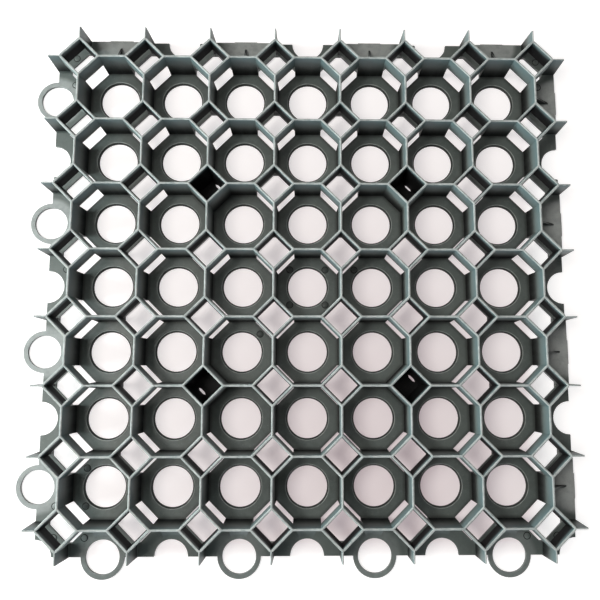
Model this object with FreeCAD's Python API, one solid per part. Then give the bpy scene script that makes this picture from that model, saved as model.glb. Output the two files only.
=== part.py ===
import FreeCAD
import Part
import math
import os

# Driving dimensions in millimetres
cells = 7
pitch = 62.5
height = 35.0
floor_thickness = 2.5
wall_foot = 4.4
wall_top = 2.2
square_draft = 0.075
drain_diameter = 37.4
ring_bore = 31.0
ring_band = 4.5
window_height = 17.5
post_setback = 0.2
fin_foot = 2.2
fin_top = 1.4
fin_lean = 1.9
gusset_reach = 24.5
gusset_height = 20.0
gusset_thickness = 1.8
lug_diameter = 23.0
lug_proud = 0.6
closed_from_edge = 2
slit_length = 9.6
slit_width = 2.4
slit_offset = 8.5
overrun = 1.0

# Derived dimensions
module = (cells + 1) * pitch
edge = module / 2
square_half = pitch * (1 - math.sqrt(0.5))
wall_length = square_half * math.sqrt(2)
wall_offset = square_half / math.sqrt(2)
outermost_vertex = edge - pitch / 2 + square_half
tab_top = 2 * floor_thickness
seam = (cells + 1) / 2
ring_cells = range(0, cells, 2)
closed_rows = (closed_from_edge, cells - closed_from_edge)
ring_outer = ring_bore / 2 + ring_band
window_head = floor_thickness + window_height
up = FreeCAD.Vector(0, 0, 1)


def half_wall(z):
    """Half the wall's thickness at height z, where the draft thins it towards the top."""
    return (wall_foot + (wall_top - wall_foot) * z / height) / 2


def square_wall(z):
    """The same on the inner side of a square cell, which has the stronger draft."""
    return wall_top / 2 + square_draft * (height - z)


def cell_centre(index):
    """Place of an octagon cell along a side; -1 and cells are the half cells on the seams."""
    return (index + 1 - seam) * pitch


def square_centre(index):
    """Place of a square cell along a side, half a pitch off the octagons."""
    return cell_centre(index) - pitch / 2


def regular_corners(x, y, z, sides, radius, first_angle):
    """Corners of a regular polygon at height z."""
    angles = [math.radians(first_angle + 360 * k / sides) for k in range(sides)]
    return [FreeCAD.Vector(x + radius * math.cos(a), y + radius * math.sin(a), z) for a in angles]


def octagon_corners(x, y, z, inset):
    """Octagon with its flats on the pitch lines, moved in by the inset."""
    half_side = 360 / 16
    return regular_corners(x, y, z, 8, (pitch / 2 - inset) / math.cos(math.radians(half_side)), half_side)


def square_corners(x, y, z, inset):
    """Square standing on its corner, with its walls moved in by the inset."""
    return regular_corners(x, y, z, 4, square_half - inset * math.sqrt(2), 0)


def flat_face(corners):
    """Flat face with the given corners."""
    return Part.Face(Part.makePolygon(corners + corners[:1]))


def tapered(low, high):
    """Solid with flat faces between two outlines that have the same number of corners."""
    faces = [flat_face(low), flat_face(high)]
    for k in range(len(low)):
        faces.append(flat_face([low[k - 1], low[k], high[k], high[k - 1]]))
    solid = Part.makeSolid(Part.makeShell(faces))
    return solid if solid.Volume > 0 else solid.reversed()


def drafted_cell(corners, inset, x, y, low, high):
    """Space inside a cell's walls, wider towards the top as the walls get thinner."""
    return tapered(corners(x, y, low, inset(low)), corners(x, y, high, inset(high)))


def floor_of(i, j):
    """Height of the floor in an octagon cell; the coupling tabs on two sides are raised."""
    on_tab_side = (i == cells and j in ring_cells) or (j == cells and i in ring_cells)
    return tab_top if on_tab_side else floor_thickness


def seam_cells():
    """Grid places of the half cells along the four sides and the quarter cells at the corners."""
    ends = (-1, cells)
    return [(i, j) for i in range(-1, cells + 1) for j in range(-1, cells + 1) if i in ends or j in ends]


def octagon_cells():
    """Spaces of the octagon cells, from their floors up to the open top."""
    spaces = []
    for i in range(-1, cells + 1):
        for j in range(-1, cells + 1):
            spaces.append(drafted_cell(octagon_corners, half_wall, cell_centre(i), cell_centre(j),
                                       floor_of(i, j), height + overrun))
    return spaces


def is_closed(i, j):
    """The four square cells that keep a floor and whole walls."""
    return i in closed_rows and j in closed_rows


def square_cells():
    """Upper spaces of the square cells; the closed ones go down to the floor."""
    spaces = []
    for i in range(cells + 1):
        for j in range(cells + 1):
            low = floor_thickness if is_closed(i, j) else window_head - overrun
            spaces.append(drafted_cell(square_corners, square_wall, square_centre(i), square_centre(j),
                                       low, height + overrun))
    return spaces


def under_space(x, y):
    """Open space under a square cell, its four windows and floor in one, between the straight walls."""
    flat = square_half + post_setback
    slant = (wall_offset + half_wall(floor_thickness)) * math.sqrt(2) - flat
    plan = []
    for turn in range(4):
        for across in (-slant, slant):
            corner = FreeCAD.Rotation(up, 90 * turn).multVec(FreeCAD.Vector(flat, across, -overrun))
            plan.append(corner + FreeCAD.Vector(x, y, 0))
    return flat_face(plan).extrude(up * (window_head + overrun))


def windows():
    """Space under each open square cell, which gives its walls their windows."""
    indices = [(i, j) for i in range(cells + 1) for j in range(cells + 1) if not is_closed(i, j)]
    return [under_space(square_centre(i), square_centre(j)) for i, j in indices]


def slits():
    """Pointed slits through the floors of the closed square cells, each beside the foot of one wall."""
    half, quarter, side = slit_length / 2, slit_length / 4, slit_width / 2
    plan = [(-half, 0), (-quarter, -side), (quarter, -side), (half, 0), (quarter, side), (-quarter, side)]
    corners = [FreeCAD.Vector(x, slit_offset + y, -overrun) for x, y in plan]
    lens = flat_face(corners).extrude(up * (floor_thickness + 2 * overrun))
    cuts = []
    for i in closed_rows:
        for j in closed_rows:
            cut = lens.copy()
            cut.rotate(FreeCAD.Vector(0, 0, 0), up, 135 if i == j == closed_from_edge else -45)
            cut.translate(FreeCAD.Vector(square_centre(i), square_centre(j), 0))
            cuts.append(cut)
    return cuts


def round_hole(x, y, diameter, top):
    """Round hole through a floor of the given height."""
    return Part.makeCylinder(diameter / 2, top + 2 * overrun, FreeCAD.Vector(x, y, -overrun), up)


def drains():
    """Drain hole in each octagon floor, and the ring bores and half-round scallops on the seams."""
    holes = []
    for i in range(cells):
        for j in range(cells):
            holes.append(round_hole(cell_centre(i), cell_centre(j), drain_diameter, floor_thickness))
    for i, j in seam_cells():
        if floor_of(i, j) == floor_thickness:
            holes.append(round_hole(cell_centre(i), cell_centre(j), ring_bore, floor_thickness))
    return holes


def tab_cells():
    """Half cells that carry a raised coupling tab."""
    return [(i, j) for i, j in seam_cells() if floor_of(i, j) == tab_top]


def within_panel(shape):
    """The part of a shape that lies inside the panel's square."""
    square = Part.makeBox(module, module, height, FreeCAD.Vector(-edge, -edge, 0))
    return shape.common(square)


def tab_plates():
    """Raised plates under which the next panel's rings slide."""
    plates = []
    for i, j in tab_cells():
        outline = flat_face(octagon_corners(cell_centre(i), cell_centre(j), floor_thickness, 0))
        plates.append(within_panel(outline.extrude(up * floor_thickness)))
    return plates


def ring_slots():
    """Room below each tab for the next panel's ring."""
    slots = []
    for i, j in tab_cells():
        outline = flat_face(octagon_corners(cell_centre(i), cell_centre(j), -overrun, half_wall(0)))
        slots.append(outline.extrude(up * (floor_thickness + overrun)))
    return slots


def rings():
    """Discs of the coupling rings, half of each standing out past the panel's edge."""
    discs = []
    for k in ring_cells:
        for x, y in ((-edge, cell_centre(k)), (cell_centre(k), -edge)):
            discs.append(Part.makeCylinder(ring_outer, floor_thickness, FreeCAD.Vector(x, y, 0), up))
    return discs


def along_sides(shape, places, sides):
    """Copies of a shape made for the right-hand side, at each place along each side, 0 right to 3 near."""
    copies = []
    for side in sides:
        for place in places:
            copy = shape.copy()
            copy.translate(FreeCAD.Vector(0, place, 0))
            copy.rotate(FreeCAD.Vector(0, 0, 0), up, 90 * side)
            copies.append(copy)
    return copies


def fin_corners(z, thickness):
    """Plan of a fin on the right-hand side at height z, from a square cell's tip out to its leaning end."""
    start = outermost_vertex - wall_foot
    end = edge - fin_lean * z / height
    plan = [(start, -thickness / 2), (end, -thickness / 2), (end, thickness / 2), (start, thickness / 2)]
    return [FreeCAD.Vector(x, y, z) for x, y in plan]


def fins():
    """Thin upright fins that meet those of the next panel and close the cells on the seam."""
    fin = tapered(fin_corners(0, fin_foot), fin_corners(height, fin_top))
    return along_sides(fin, [square_centre(k) for k in range(cells + 1)], range(4))


def gusset():
    """Triangular rib that stiffens a tab against the wall behind it."""
    wall = edge - pitch / 2
    foot = wall + gusset_reach
    root = tab_top - overrun
    side = [(wall, root), (foot, root), (foot, tab_top), (wall, tab_top + gusset_height)]
    corners = [FreeCAD.Vector(x, -gusset_thickness / 2, z) for x, z in side]
    return flat_face(corners).extrude(FreeCAD.Vector(0, gusset_thickness, 0))


def lug():
    """Half-round lug under a tab, which drops into the next panel's ring."""
    disc = Part.makeCylinder(lug_diameter / 2, tab_top, FreeCAD.Vector(edge, 0, 0), up)
    keep = Part.makeBox(lug_diameter, lug_diameter, tab_top,
                        FreeCAD.Vector(edge + lug_proud - lug_diameter, -lug_diameter / 2, 0))
    return disc.common(keep)


def tab_fittings():
    """Gussets and lugs of the tabs on the right-hand and far sides."""
    places = [cell_centre(k) for k in ring_cells]
    fittings = along_sides(gusset(), places, (0,)) + along_sides(lug(), places, (0,))
    mirrored = [shape.mirror(FreeCAD.Vector(0, 0, 0), FreeCAD.Vector(1, -1, 0)) for shape in fittings]
    return fittings + mirrored


def panel():
    """The whole moulding: a stepped block with its cells, holes and windows cut out."""
    wall_reach = 2 * outermost_vertex
    plate = Part.makeBox(module, module, floor_thickness, FreeCAD.Vector(-edge, -edge, 0))
    block = Part.makeBox(wall_reach, wall_reach, height,
                         FreeCAD.Vector(-outermost_vertex, -outermost_vertex, 0))
    blank = block.fuse([plate] + rings() + fins() + tab_plates())
    body = blank.cut(octagon_cells() + square_cells() + drains() + windows() + ring_slots() + slits())
    return body.fuse(tab_fittings()).removeSplitter()


# The origin is the middle of the underside of the whole outline, rings and lugs included
shape = panel()
box = shape.BoundBox
shape.translate(FreeCAD.Vector(-box.Center.x, -box.Center.y, -box.ZMin))
solid = shape.Solids[0]
print("solids", len(shape.Solids), "valid", solid.isValid(), "faces", len(solid.Faces))
print("size", [round(v, 3) for v in (box.XLength, box.YLength, box.ZLength)])
print("volume", round(solid.Volume, 1), "centre", solid.CenterOfMass)
os.makedirs("parts", exist_ok=True)
solid.exportStep("parts/paver_grid.step")
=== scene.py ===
# %% [markdown]
# A grass paver grid is one plastic moulding: octagon cells with a drain in each floor, and small
# square cells between them that are open right through. Its true size and every wall come from the
# solid model, so the scene starts from that and only adds what a mould and a yard give it: rounded
# edges, small marks, and the finish of the plastic, into which some light and shade are painted.

# %% Load the packed model
import math
import bpy
import bmesh
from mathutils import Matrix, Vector


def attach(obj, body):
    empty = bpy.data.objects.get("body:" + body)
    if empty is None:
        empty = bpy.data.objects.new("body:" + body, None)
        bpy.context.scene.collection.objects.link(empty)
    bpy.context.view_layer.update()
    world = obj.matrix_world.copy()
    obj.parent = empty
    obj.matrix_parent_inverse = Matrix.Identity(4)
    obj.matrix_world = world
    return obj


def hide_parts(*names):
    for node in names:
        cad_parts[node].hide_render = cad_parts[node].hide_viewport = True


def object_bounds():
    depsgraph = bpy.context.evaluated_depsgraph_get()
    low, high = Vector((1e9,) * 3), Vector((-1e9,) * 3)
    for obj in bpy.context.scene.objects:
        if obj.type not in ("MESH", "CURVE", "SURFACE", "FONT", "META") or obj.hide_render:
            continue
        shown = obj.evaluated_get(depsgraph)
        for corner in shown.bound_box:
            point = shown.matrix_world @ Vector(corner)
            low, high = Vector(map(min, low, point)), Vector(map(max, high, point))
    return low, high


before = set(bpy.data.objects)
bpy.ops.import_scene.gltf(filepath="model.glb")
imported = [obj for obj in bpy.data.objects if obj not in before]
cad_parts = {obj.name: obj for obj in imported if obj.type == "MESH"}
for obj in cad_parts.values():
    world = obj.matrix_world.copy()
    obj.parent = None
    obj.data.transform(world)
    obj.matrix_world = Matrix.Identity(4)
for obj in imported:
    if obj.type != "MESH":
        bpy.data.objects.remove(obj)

solid_box = [list(map(float, corner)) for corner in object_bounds()]
print("the solid's box", solid_box)

# %% [markdown]
# Every moulded edge has a small radius, and it is these radii that catch the light. The solid has
# sharp edges, and its mesh is loose triangles, which a bevel can't follow. The walls could be built
# again from boxes, but a copy of the solid's own mesh keeps each of them exactly in its place. Its
# triangles are merged first.

# %% Take a copy of the moulding
mm = 0.001
bpy.ops.object.select_all(action="DESELECT")
panel = bpy.data.objects.new("panel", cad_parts["paver_grid"].data.copy())
bpy.context.scene.collection.objects.link(panel)


def start_editing(piece):
    """Go into edit mode on one piece alone, picking edges."""
    bpy.ops.object.select_all(action="DESELECT")
    bpy.context.view_layer.objects.active = piece
    piece.select_set(True)
    bpy.ops.object.mode_set(mode="EDIT")
    bpy.ops.mesh.select_mode(type="EDGE")


start_editing(panel)
bpy.ops.mesh.select_all(action="SELECT")
bpy.ops.mesh.remove_doubles(threshold=0.01 * mm)
print("the copy has", len(bmesh.from_edit_mesh(panel.data).verts), "corners once merged")

# %% [markdown]
# A bevel works best on whole edges, as on a hand-made model, so the flat faces are joined up again.
# The tops of the walls, the border and the underside are each one net round or over the whole
# panel, full of holes, which a single face can't have. They are joined only into four-sided faces,
# such as the top of each wall, with three-sided ones where walls meet.

# %% Join its flat faces
cells = 7
pitch = 62.5 * mm
height = solid_box[1][2]
floor_top = 2.5 * mm
outer_walls = cells * pitch / 2
grid_centre = Vector((9.7 * mm, 9.7 * mm, 0))
slack = 0.05 * mm


def reach(corner):
    """How far out of the middle of the grid a corner lies, along the nearer side."""
    return max(abs(corner.co.x - grid_centre.x), abs(corner.co.y - grid_centre.y))


def is_wall_top(face):
    """A face on the flat tops of the walls."""
    return all(corner.co.z > height - slack for corner in face.verts)


def is_underside(face):
    """A face that lies on the ground."""
    return all(corner.co.z < slack for corner in face.verts)


def is_border(face):
    """A face on the flat border outside the outermost walls."""
    return all(abs(corner.co.z - floor_top) < slack and reach(corner) > outer_walls
               for corner in face.verts)


def is_net(face):
    """A face of one of the three nets that are full of holes."""
    return is_wall_top(face) or is_underside(face) or is_border(face)


def pick_faces(wanted):
    """Select the faces that pass a test."""
    bpy.ops.mesh.select_all(action="DESELECT")
    mesh = bmesh.from_edit_mesh(bpy.context.edit_object.data)
    for face in mesh.faces:
        if wanted(face):
            face.select_set(True)
    bmesh.update_edit_mesh(bpy.context.edit_object.data)


pick_faces(lambda face: not is_net(face))
bpy.ops.mesh.dissolve_limited(angle_limit=0.004, delimit=set())
pick_faces(is_net)
bpy.ops.mesh.tris_convert_to_quads(face_threshold=math.radians(40),
                                   shape_threshold=math.radians(80))
mesh = bmesh.from_edit_mesh(panel.data)
print("the panel has", len(mesh.faces), "faces and", len(mesh.edges), "edges")

# %% [markdown]
# The tops of the walls are rounded most, because the tool that cut them into the mould was round.
# The edges are picked by their height, and each gets a weight. A Bevel modifier reads the weight as
# a share of its full width, so the thin fins and the outermost tips can have less in the same step.

# %% Round the tops of the walls
top_radius = 1.0 * mm
sharp_angle = 0.5
# how far out of the middle the outermost tips, the roots of the fins and the fins themselves begin
tips_from, roots_from, fins_from = 235 * mm, 236.5 * mm, 238 * mm


def at_level(edge, level):
    """An edge that lies flat at a height."""
    return all(abs(end.co.z - level) < slack for end in edge.verts)


def is_sharp(edge):
    """An outer corner, not the foot of a wall."""
    return edge.is_manifold and edge.is_convex and edge.calc_face_angle() > sharp_angle


def top_share(edge):
    """Share of the full radius that fits: less on the thin fins and round the outermost tips."""
    far, close = max(map(reach, edge.verts)), min(map(reach, edge.verts))
    if far > fins_from:
        return 0.5
    if close > roots_from:
        return 0.35
    return 0.65 if far > tips_from else 1


share = mesh.edges.layers.float.new("bevel_weight_edge")
for edge in mesh.edges:
    if is_sharp(edge) and at_level(edge, height):
        edge[share] = top_share(edge)
print(sum(edge[share] > 0 for edge in mesh.edges), "edges along the tops of the walls")
bmesh.update_edit_mesh(panel.data)
bpy.ops.object.mode_set(mode="OBJECT")
rounding = panel.modifiers.new("Rounded tops", "BEVEL")
rounding.limit_method = "WEIGHT"
rounding.width = top_radius
rounding.segments = 4
rounding.use_clamp_overlap = False
bpy.ops.object.modifier_apply(modifier=rounding.name)

# %% [markdown]
# Each drain has a wide flare on its upper side, which lets the moulding slide off its core. It
# could be spun as a separate cone, but a bevel of one step on the drain's own rim gives the same
# slope with no seam. The new rim outside the flare is then rounded. How worn the new faces are, and
# how much painted highlight they get, is written into the mesh, so that the plastic can be paler
# there.

# %% Flare the drains
drain_radius = 18.7 * mm
drain_flare = 1.6 * mm


def cell_centre(i, j):
    """Middle of an octagon cell, counted from the near left one."""
    middle = (cells - 1) / 2
    return grid_centre + Vector(((i - middle) * pitch, (j - middle) * pitch, 0))


def from_cell(place):
    """How far a place lies from the middle of the octagon cell that it is in."""
    steps = (round((place[k] - cell_centre(0, 0)[k]) / pitch) for k in (0, 1))
    i, j = (min(max(step, 0), cells - 1) for step in steps)
    return (place.xy - cell_centre(i, j).xy).length


def on_drain(edge, out):
    """An edge of a drain's round rim on the floor, or of a ring that far outside it."""
    return at_level(edge, floor_top) and all(
        abs(from_cell(end.co) - drain_radius - out) < 4 * slack for end in edge.verts)


def pick_edges(wanted):
    """Select the sharp edges that pass a test, and say how many there are."""
    bpy.ops.mesh.select_all(action="DESELECT")
    mesh = bmesh.from_edit_mesh(bpy.context.edit_object.data)
    for edge in mesh.edges:
        if is_sharp(edge) and wanted(edge):
            edge.select_set(True)
    bmesh.update_edit_mesh(bpy.context.edit_object.data)
    return sum(edge.select for edge in mesh.edges)


def mark_worn(amount):
    """Write how pale the faces of the last bevel are painted, as wear and highlight, into the mesh.
    """
    mesh = bmesh.from_edit_mesh(panel.data)
    worn = mesh.loops.layers.float.get("worn") or mesh.loops.layers.float.new("worn")
    for face in mesh.faces:
        if face.select:
            for corner in face.loops:
                corner[worn] = amount
    bmesh.update_edit_mesh(panel.data)


def round_edges(name, wanted, radius, steps, worn):
    """Bevel the sharp edges that pass a test, and mark how pale they are painted, as wear and
    highlight.
    """
    count = pick_edges(wanted)
    bpy.ops.mesh.bevel(offset=radius, segments=steps, profile=0.5, affect="EDGES",
                       clamp_overlap=False)
    mark_worn(worn)
    print(count, "edges rounded:", name)


start_editing(panel)
round_edges("flare of the drains", lambda edge: on_drain(edge, 0), drain_flare, 1, 0)
round_edges("rims of the drains", lambda edge: on_drain(edge, drain_flare), 0.4 * mm, 2, 1)

# %% [markdown]
# All the other outer edges have only the small radius of a worn mould. The same bevel goes over
# everything between the ground and the rounded tops in one step. Edges that meet a very short one
# stay sharp, because the strips of the bevel would cross there.

# %% Round the other edges
edge_radius = 0.3 * mm
short_edge = 1.2 * mm
below_tops = height - 2 * mm


def has_room(edge):
    """No short edge meets this one, so a bevel has room to turn the corner."""
    return all(side.calc_length() > short_edge for end in edge.verts for side in end.link_edges)


def is_other(edge):
    """An edge between the ground and the rounded tops that a bevel has room for."""
    under = max(end.co.z for end in edge.verts) < below_tops
    return under and has_room(edge) and not at_level(edge, 0)


round_edges("other edges", is_other, edge_radius, 2, 0.7)
bpy.ops.object.mode_set(mode="OBJECT")

# %% [markdown]
# Rounded edges only look round when the flat faces beside them stay flat. Faces that meet at a
# small angle are shaded as one, and the normals are then weighted by the size of the faces, so that
# the broad flat ones win over the thin strips of the bevels.

# %% Shade the moulding
bpy.ops.object.shade_smooth_by_angle(angle=math.radians(35))
weighted = panel.modifiers.new("Weighted normals", "WEIGHTED_NORMAL")
weighted.keep_sharp = True
bpy.ops.object.modifier_apply(modifier=weighted.name)
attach(panel, "root")
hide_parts("paver_grid")
triangles = sum(len(face.vertices) - 2 for face in panel.data.polygons)
print("the panel now has", triangles, "triangles")

# %% [markdown]
# The pins that push the panel out of its mould leave small round pads on the floors, with a dark
# line round each. A bump in the shader would be flat from the side, so one is modelled: a disc sunk
# into the floor, its top inset to leave the line, the middle raised and its rim rounded.

# %% Model one pin mark
pad_radius = 2.7 * mm
line_width = 0.8 * mm
disc_depth = 0.5 * mm
line_rise = 0.05 * mm
pad_rise = 0.3 * mm
bpy.ops.object.select_all(action="DESELECT")
bpy.ops.mesh.primitive_cylinder_add(vertices=24, radius=pad_radius + line_width, depth=disc_depth,
                                    location=(0, 0, floor_top + line_rise - disc_depth / 2))
pin = bpy.context.object
bpy.ops.object.transform_apply(location=True)
start_editing(pin)
pick_faces(lambda face: face.normal.z > 0.9)
bpy.ops.mesh.inset(thickness=line_width)
bpy.ops.mesh.extrude_region_move(TRANSFORM_OT_translate={"value": (0, 0, pad_rise)})
pad_top = floor_top + line_rise + pad_rise
pick_edges(lambda edge: at_level(edge, pad_top))
bpy.ops.mesh.bevel(offset=0.15 * mm, segments=2, profile=0.5, affect="EDGES")
bpy.ops.object.mode_set(mode="OBJECT")
bpy.ops.object.shade_smooth_by_angle(angle=math.radians(50))
print("one pin mark has", len(pin.data.polygons), "faces")

# %% [markdown]
# The real panel shows these marks beside some of the square cells, round the middle of the grid and
# at the corners. The one model is copied to each place, and the copies are joined into one piece.
# One of them stands on a raised tab.

# %% Copy the pin mark to its places
from_square = 14.1 * mm
tab_rise = 2.5 * mm
on_tab = (7, 7, 1, -1)
# the square cell's place in the grid from 0 to 7, then the side of it that the mark is on
pin_marks = (
    (4, 4, -1, -1), (3, 4, 1, -1), (4, 3, -1, 1), (3, 3, 1, 1), (4, 4, 1, -1), (3, 3, -1, -1),
    (0, 0, 1, 1), (0, 0, 1, -1), (0, 0, -1, 1), (0, 0, -1, -1), (0, 1, 1, -1), (0, 4, -1, -1),
    (0, 7, -1, -1), (0, 7, -1, 1), (7, 0, -1, -1), (7, 0, 1, -1), (7, 7, 1, 1), on_tab)
copies = []
for mark in pin_marks:
    i, j, right, far = mark
    copy = pin.copy()
    copy.data = pin.data.copy()
    bpy.context.scene.collection.objects.link(copy)
    copy.location = cell_centre(i - 0.5, j - 0.5) + Vector((right, far, 0)) * from_square
    copy.location.z = tab_rise if mark == on_tab else 0
    copies.append(copy)
bpy.data.objects.remove(pin)
bpy.ops.object.select_all(action="DESELECT")
for copy in copies:
    copy.select_set(True)
pins = bpy.context.view_layer.objects.active = copies[0]
bpy.ops.object.transform_apply(location=True)
bpy.ops.object.join()
pins.name = "pin_marks"
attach(pins, "root")
print(len(pin_marks), "pin marks with", len(pins.data.polygons), "faces")

# %% [markdown]
# The finish is worked out with sums on the sockets of the shader. The nodes could be added and
# linked one by one, but a small class lets a socket be added and multiplied with Python's own
# signs, which keeps the recipe readable.

# %% A socket that can do sums


class Wire:
    """A socket of a material, with Python's own signs for its sums."""

    def __init__(self, tree, socket=None):
        self.tree = tree
        self.socket = socket

    def node(self, kind, settings=None, sockets=None, out=0):
        """Add a node: its settings first, then the values or links of its sockets."""
        made = self.tree.nodes.new(kind)
        for name, value in (settings or {}).items():
            setattr(made, name, value)
        for name, value in (sockets or {}).items():
            if isinstance(value, Wire):
                self.tree.links.new(value.socket, made.inputs[name])
            else:
                made.inputs[name].default_value = value
        return Wire(self.tree, made.outputs[out] if made.outputs else None)

    def sum(self, sign, first, second):
        """A sum of two values, by the name of its sign."""
        return self.node("ShaderNodeMath", {"operation": sign}, {0: first, 1: second})

    def __add__(self, other):
        return self.sum("ADD", self, other)

    def __sub__(self, other):
        return self.sum("SUBTRACT", self, other)

    def __rsub__(self, other):
        return self.sum("SUBTRACT", other, self)

    def __mul__(self, other):
        return self.sum("MULTIPLY", self, other)

    __radd__ = __add__
    __rmul__ = __mul__

    def size(self):
        """The value without its sign."""
        return self.sum("ABSOLUTE", self, 0)

    def larger(self, other):
        """The larger of two values."""
        return self.sum("MAXIMUM", self, other)

    def parts(self):
        """The three coordinates of a place."""
        first = self.node("ShaderNodeSeparateXYZ", None, {0: self})
        return [Wire(self.tree, socket) for socket in first.socket.node.outputs]

    def between(self, low, high):
        """0 below low, 1 above high, with a soft step between."""
        return self.node("ShaderNodeMapRange", {"interpolation_type": "SMOOTHSTEP"},
                         {"Value": self, "From Min": low, "From Max": high})

    def mix(self, first, second):
        """A colour between two, by this value."""
        return self.node("ShaderNodeMix", {"data_type": "RGBA"},
                         {0: self, 6: first, 7: second}, out=2)

    def noise(self, place, scale, detail=2.0, roughness=0.5):
        """Cloudy noise around a half, that many times a metre."""
        return self.node("ShaderNodeTexNoise", None,
                         {"Vector": place, "Scale": scale, "Detail": detail,
                          "Roughness": roughness})


print("a wire can do:", ", ".join(name for name in vars(Wire) if not name.startswith("_")))

# %% [markdown]
# Every finish here is one colour with others laid over it in turn, as dirt and wear come over the
# plastic. Two helpers do what repeats: one starts an empty material, and one lays the colours.

# %% Start a material and lay its colours


def new_material(name):
    """An empty material and a first wire to build it with."""
    material = bpy.data.materials.new(name)
    material.use_nodes = True
    material.node_tree.nodes.clear()
    print("started on", name)
    return material, Wire(material.node_tree)


def layered(colour, *layers):
    """A colour with others laid over it in turn, each by its own share."""
    for share, above in layers:
        colour = share.mix(colour, above)
    return colour


print("a material is started by", new_material.__name__, "and coloured by", layered.__name__)

# %% [markdown]
# The plastic is recycled, so its grey-green isn't even: it clouds over a hand's width and is
# flecked where the regrind didn't melt in. The flow into the mould leaves faint upright streaks on
# the walls. The walls are painted lighter and more teal towards their tops, as painted light, and
# darker towards the floor, as painted shade. All of it follows from the place on the panel, so
# nothing has to be painted by hand.

# %% The moulded plastic
plastic, wire = new_material("recycled plastic")
place = wire.node("ShaderNodeTexCoord", out="Object")
right, far, up = place.parts()
across, along = (right - grid_centre.x).size(), (far - grid_centre.y).size()
inner = 1 - across.larger(along).between(outer_walls - 0.02 * pitch, outer_walls)
stretched = wire.node("ShaderNodeMapping", {"vector_type": "POINT"},
                      {"Vector": place, "Scale": (1, 1, 0.12)})
clouds = wire.noise(place, 9, 3).between(0.35, 0.65)
flecks = wire.noise(place, 420, 2, 0.6).between(0.55, 0.75)
streaks = wire.noise(stretched, 160, 2).between(0.35, 0.7)
# painted light: the walls are lighter and more teal towards their tops
lit_towards_tops = up.between(18 * mm, 34 * mm)
# the painted shade towards the floor starts just above the floors and the raised tabs
tab_top = floor_top + tab_rise
off_floor = up.between(floor_top + 0.1 * mm, floor_top + 0.6 * mm)
off_tabs = up.between(tab_top + 0.2 * mm, tab_top + 1.0 * mm)
# painted shade: the walls are darker towards the floor
shade_towards_floor = (inner * off_floor).larger(off_tabs) * (1 - up.between(4 * mm, 24 * mm))

body = layered(
    clouds.mix((0.085, 0.101, 0.095, 1), (0.111, 0.129, 0.120, 1)),
    # painted light high on the walls
    (lit_towards_tops, (0.126, 0.184, 0.190, 1)),
    # painted shade low on the walls
    (0.92 * shade_towards_floor, (0.018, 0.019, 0.018, 1)),
    (0.35 * streaks, (0.135, 0.155, 0.150, 1)),
    (0.35 * flecks, (0.17, 0.19, 0.18, 1)))
print("the bare plastic takes", len(plastic.node_tree.nodes), "nodes")

# %% [markdown]
# The tops of the walls are painted pale, partly as wear from feet and tyres and partly as painted
# highlight, and the rounded edges a little, the same way. The rings and tabs slide over each other
# when panels are laid, so they are rubbed pale too, partly as wear and partly as painted light, and
# those on the near side less, as painted shade. A coarse noise breaks up all three, because wear is
# never even.

# %% Where the plastic is worn, with painted highlights
panel_edge = (cells + 1) * pitch / 2
rubbed = wire.noise(place, 140, 4, 0.65).between(0.3, 0.62)
# the tops of the walls are painted pale: partly wear, partly painted highlight
scuff_and_highlight = up.between(height - 0.9 * mm, height - 0.2 * mm) * (0.55 + 0.45 * rubbed)
# the rounded edges are painted pale: partly wear, partly painted highlight
worn = wire.node("ShaderNodeAttribute", {"attribute_name": "worn"}, out="Fac")
edge_wear_and_highlight = worn * (0.4 + 0.6 * rubbed) * 0.8


def from_coupling(outward, sideways):
    """Squared distance from the middle of the nearest ring or tab, on two opposite sides."""
    out = outward - panel_edge
    side = (sideways - 2 * pitch).size() - pitch
    return out * out + side * side


coupling = wire.sum("MINIMUM", from_coupling(across, along), from_coupling(along, across))
on_coupling = 1 - coupling.between((21 * mm) ** 2, (27 * mm) ** 2)
on_tabs = 1 - up.between(tab_top + 0.2 * mm, tab_top + 2.0 * mm)
# painted shade: the rings and tabs on the near side are kept less pale
near_side_shade = (grid_centre.y - far).between(outer_walls - 0.1 * pitch, outer_walls)
# the rings and tabs are painted pale: partly wear, partly painted light
rubbed_and_lit_pale = on_coupling * on_tabs * (0.7 + 0.3 * rubbed) * (1 - 0.7 * near_side_shade)
print("with its wear it takes", len(plastic.node_tree.nodes), "nodes")

# %% [markdown]
# Shade is painted dark along the feet of the walls, on the flare of the drains, on the inner sides
# of the square cells, and darkest in the four closed ones. Folding the panel back and forth at
# every half pitch lays all the cells over each other, so one set of sums serves them all.

# %% Where shade is painted
u, v = (wire.sum("PINGPONG", side, pitch / 2) for side in (across, along))
to_wall = u.larger(v).larger((u + v) * math.sqrt(0.5))
on_floor = inner * (1 - off_floor)
# painted shade along the feet of the walls
shade_at_wall_feet = to_wall.between(25.5 * mm, 29 * mm) * on_floor
flare_edge = drain_radius + drain_flare
past_flare = (u * u + v * v).between((flare_edge - 0.5 * mm) ** 2, (flare_edge - 0.1 * mm) ** 2)
# painted shade on the flare of the drains
shade_on_drain_flare = (1 - past_flare) * on_floor
# painted shade on the inner sides of the square cells
in_square = (u + v).between(43.4 * mm, 44.4 * mm) * (1 - up.between(29 * mm, 34.5 * mm))
from_closed = (across - 1.5 * pitch).size() + (along - 1.5 * pitch).size()
in_closed = 1 - from_closed.between(16.5 * mm, 18 * mm)
# painted shade: the four closed cells are near black below their tops
shade_in_closed_cells = in_closed * (1 - up.between(14 * mm, 34 * mm))
print("with its dirt it takes", len(plastic.node_tree.nodes), "nodes")
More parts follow.
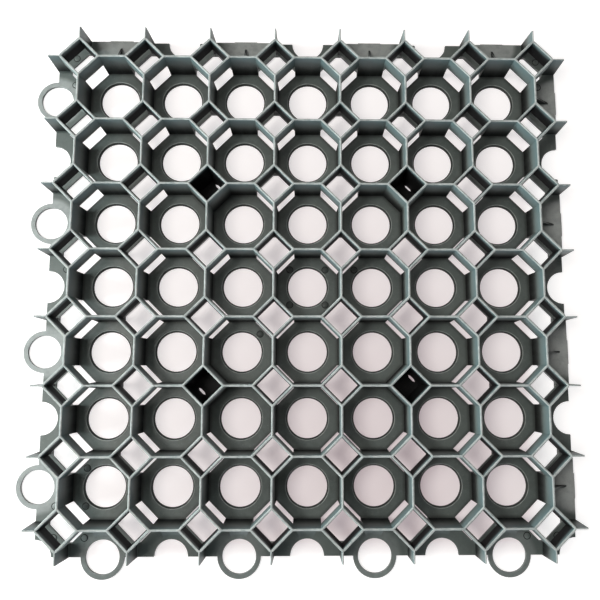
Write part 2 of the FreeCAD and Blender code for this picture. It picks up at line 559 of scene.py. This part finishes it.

# %% [markdown]
# The painted shade, and the paler wear with its painted highlights, are laid over the plastic in
# turn. Slow waves from the cooling and a fine grain from the spark-eroded mould break the gloss. A
# darker colour alone would still shine, so a near-black matte shader takes over low on the walls
# and in the square cells, as painted shade.

# %% Finish the plastic
body = layered(
    body,
    # painted shade at the feet of the walls, on the drains and in the square cells
    (0.6 * shade_at_wall_feet, (0.022, 0.021, 0.020, 1)),
    (0.75 * shade_on_drain_flare, (0.020, 0.020, 0.019, 1)),
    (0.92 * in_square, (0.016, 0.016, 0.017, 1)),
    # paler edges, rings and tops: partly wear, partly painted highlight and light
    (edge_wear_and_highlight, (0.36, 0.38, 0.37, 1)),
    (rubbed_and_lit_pale, (0.33, 0.345, 0.34, 1)),
    (scuff_and_highlight, (0.49, 0.505, 0.495, 1)),
    # painted shade in the closed cells
    (0.85 * shade_in_closed_cells, (0.008, 0.008, 0.008, 1)))
rough = 0.40 + 0.10 * clouds + 0.10 * scuff_and_highlight + 0.06 * flecks
waves = wire.node("ShaderNodeBump", None,
                  {"Strength": 0.35, "Distance": 0.25 * mm, "Height": wire.noise(place, 55, 2)})
skin = wire.node("ShaderNodeBump", None,
                 {"Strength": 0.25, "Distance": 0.06 * mm, "Height": wire.noise(place, 2600, 2),
                  "Normal": waves})
glossy_plastic = wire.node("ShaderNodeBsdfPrincipled", None,
                  {"Base Color": body, "Roughness": rough, "Normal": skin})
# painted shade: a near-black matte shader
matte_shade_colour = flecks.mix((0.010, 0.010, 0.011, 1), (0.022, 0.021, 0.020, 1))
matte_shade = wire.node("ShaderNodeBsdfPrincipled", None,
                 {"Base Color": matte_shade_colour, "Roughness": 0.95, "Specular IOR Level": 0.1,
                  "Normal": skin})
# the matte painted shade takes over in the square cells and low on the walls
matte_shade_share = (0.8 * in_square).larger(0.7 * shade_towards_floor)
surface = wire.node("ShaderNodeMixShader", None, {0: matte_shade_share, 1: glossy_plastic, 2: matte_shade})
wire.node("ShaderNodeOutputMaterial", None, {"Surface": surface})
for piece in (panel, pins):
    piece.data.materials.clear()
    piece.data.materials.append(plastic)
print(plastic.name, "is on", panel.name, "and", pins.name)

# %% [markdown]
# The line round each pin mark is near black and duller than the plastic. It is a material of its
# own, and only the narrow faces that lie just above a floor or a raised tab get it.

# %% The dark line round the pin marks
dark_line, wire = new_material("dark pad line")
spots = wire.noise(wire.node("ShaderNodeTexCoord", out="Object"), 900, 3).between(0.3, 0.7)
dark_line_colour = spots.mix((0.006, 0.006, 0.006, 1), (0.018, 0.019, 0.018, 1))
dark_line_shader = wire.node("ShaderNodeBsdfPrincipled", None, {"Base Color": dark_line_colour, "Roughness": 0.8})
wire.node("ShaderNodeOutputMaterial", None, {"Surface": dark_line_shader})
pins.data.materials.append(dark_line)


def is_line(face):
    """A face of the dark line round a pad, on a floor or on a raised tab."""
    return any(abs(face.center.z - level - line_rise) < slack for level in (floor_top, tab_top))


for face in pins.data.polygons:
    face.material_index = 1 if is_line(face) else 0
print(dark_line.name, "is on", sum(face.material_index for face in pins.data.polygons), "faces")

# %% [markdown]
# The panel lies on white paper, with a painted shadow that makes it greyer and pinker under and in
# front of the panel's middle, and white further out. More light would bleach the panel too, so a
# glow that only the camera sees, also in a gloss, makes it white. For light that spreads the paper
# is a plain grey, which keeps the shade inside the cells.

# %% The paper
white_light = (1, 1, 1, 1)
painted_shadow_centre = Vector((0.08, -0.19))


def seen_rays(wire):
    """1 for what the camera sees, also in a gloss or a glass, and 0 for light that spreads."""
    camera, gloss, glass = (wire.node("ShaderNodeLightPath", out=f"Is {kind} Ray")
                            for kind in ("Camera", "Glossy", "Transmission"))
    return camera.larger(gloss).larger(glass)


def glowing(wire, colour, strength):
    """A surface that gives off light."""
    return wire.node("ShaderNodeEmission", None, {"Color": colour, "Strength": strength})


paper, wire = new_material("white paper")
right, far, up = wire.node("ShaderNodeTexCoord", out="Object").parts()
sideways = (right - grid_centre.x).size() + 30 * mm
lengthways = (far - grid_centre.y).size()
outside = sideways.larger(lengthways).between(228 * mm, 258 * mm)
across, along = right - painted_shadow_centre.x, (far - painted_shadow_centre.y) * 0.7
away = wire.sum("SQRT", across * across + along * along, 0)
# painted shadow: a dimmer, pinker glow under and in front of the middle
shade, bright = glowing(wire, (1.0, 0.80, 0.85, 1), 0.31), glowing(wire, white_light, 0.70)
glow_share = outside.larger(0.8 * away.between(0, 0.36))
glow = wire.node("ShaderNodeMixShader", None, {0: glow_share, 1: shade, 2: bright})
glow = wire.node("ShaderNodeMixShader", None,
                 {0: away.between(0.45, 1.0), 1: glow, 2: glowing(wire, white_light, 1.0)})
white = wire.node("ShaderNodeBsdfDiffuse", None, {"Color": (0.62, 0.585, 0.585, 1)})
plain = wire.node("ShaderNodeBsdfDiffuse", None, {"Color": (0.15, 0.15, 0.15, 1)})
lit = wire.node("ShaderNodeAddShader", None, {0: glow, 1: white})
sheet = wire.node("ShaderNodeMixShader", None, {0: seen_rays(wire), 1: plain, 2: lit})
wire.node("ShaderNodeOutputMaterial", None, {"Surface": sheet})
bpy.ops.object.select_all(action="DESELECT")
bpy.ops.mesh.primitive_plane_add(size=14, location=(0, 0, -0.1 * mm))
floor = bpy.context.object
floor.name = "floor"
floor.data.materials.append(paper)
print(paper.name, "is on a floor", floor.dimensions.x, "m wide")

# %% [markdown]
# The room itself gives only a faint cool light. The camera sees it as a white backdrop up to the
# height of a studio wall, so that the paper has no edge when the panel is seen from the side.

# %% The room
world = bpy.data.worlds.new("room")
bpy.context.scene.world = world
world.use_nodes = True
world.node_tree.nodes.clear()
wire = Wire(world.node_tree)
rise = wire.node("ShaderNodeTexCoord", out="Generated").parts()[2]
backdrop = seen_rays(wire) * (1 - rise.between(0.30, 0.40))
dim = wire.node("ShaderNodeBackground", None, {"Color": (0.85, 0.95, 1.0, 1), "Strength": 0.024})
pale = wire.node("ShaderNodeBackground", None, {"Color": white_light, "Strength": 1.0})
walls = wire.node("ShaderNodeMixShader", None, {0: backdrop, 1: dim, 2: pale})
wire.node("ShaderNodeOutputWorld", None, {"Surface": walls})
print("the", world.name, "has a dim ceiling and a pale backdrop all round")

# %% [markdown]
# One lamp low on the left makes the long shadows inside the cells, and a broad soft box above it
# brings out the tops of the walls. Two weak fills from the near side and two weak soft boxes, far
# and right, keep the other sides of the walls from going black. All are area lamps, because their
# shadows have soft edges, and all are close to white, so the colours stay those of the plastic.

# %% The lamps


def soft_lamp(name, place, size, power, colour):
    """A rectangular area lamp that faces the middle of the panel."""
    bpy.ops.object.light_add(type="AREA", location=place)
    lamp = bpy.context.object
    lamp.name = name
    lamp.rotation_euler = (Vector((0, 0, 0)) - place).to_track_quat("-Z", "Y").to_euler()
    lamp.data.shape = "RECTANGLE"
    lamp.data.size, lamp.data.size_y = size
    lamp.data.energy = power
    lamp.data.color = colour
    print(name, "of", power, "watts")


def from_panel(turn, lift, far=2.2):
    """A place around the panel: turn from the right-hand side, lift from the floor, in degrees."""
    turn, lift = math.radians(turn), math.radians(lift)
    level = math.cos(lift)
    return Vector((level * math.cos(turn), level * math.sin(turn), math.sin(lift))) * far


soft_lamp("low left lamp", from_panel(180, 18, 1.5), (0.7, 0.2), 24, (0.86, 1.0, 1.0))
soft_lamp("left soft box", from_panel(180, 62), (1.0, 0.8), 25, (1.0, 0.98, 0.93))
soft_lamp("near fill", from_panel(250, 20), (1.0, 0.3), 7.5, (0.75, 0.92, 1.0))
soft_lamp("far soft box", from_panel(90, 65), (1.0, 1.0), 5, (1.0, 0.98, 0.92))
soft_lamp("right soft box", from_panel(0, 65), (1.0, 1.0), 3.6, (1.0, 0.96, 0.95))
soft_lamp("low near fill", from_panel(300, 7), (1.0, 0.2), 6, (0.85, 0.94, 1.0))

# %% [markdown]
# The camera hangs above the near half of the panel and looks almost straight down, close enough for
# the walls to lean outwards all round. The panel isn't in the middle of the picture, and a small
# shift of the lens sets that without turning the camera.

# %% The camera
image_width = 600
bpy.ops.object.camera_add(location=(0.00821, -0.07239, 0.58258),
                          rotation=(0.1197, -0.0169, -0.0004))
camera = bpy.context.object
camera.data.sensor_width = 36
camera.data.lens = 36.197
camera.data.shift_x = -16 / image_width
bpy.context.scene.camera = camera
bpy.context.scene.view_settings.view_transform = "Standard"
print("the camera is", round(camera.location.z, 3), "m above the paper")

# %% [markdown]
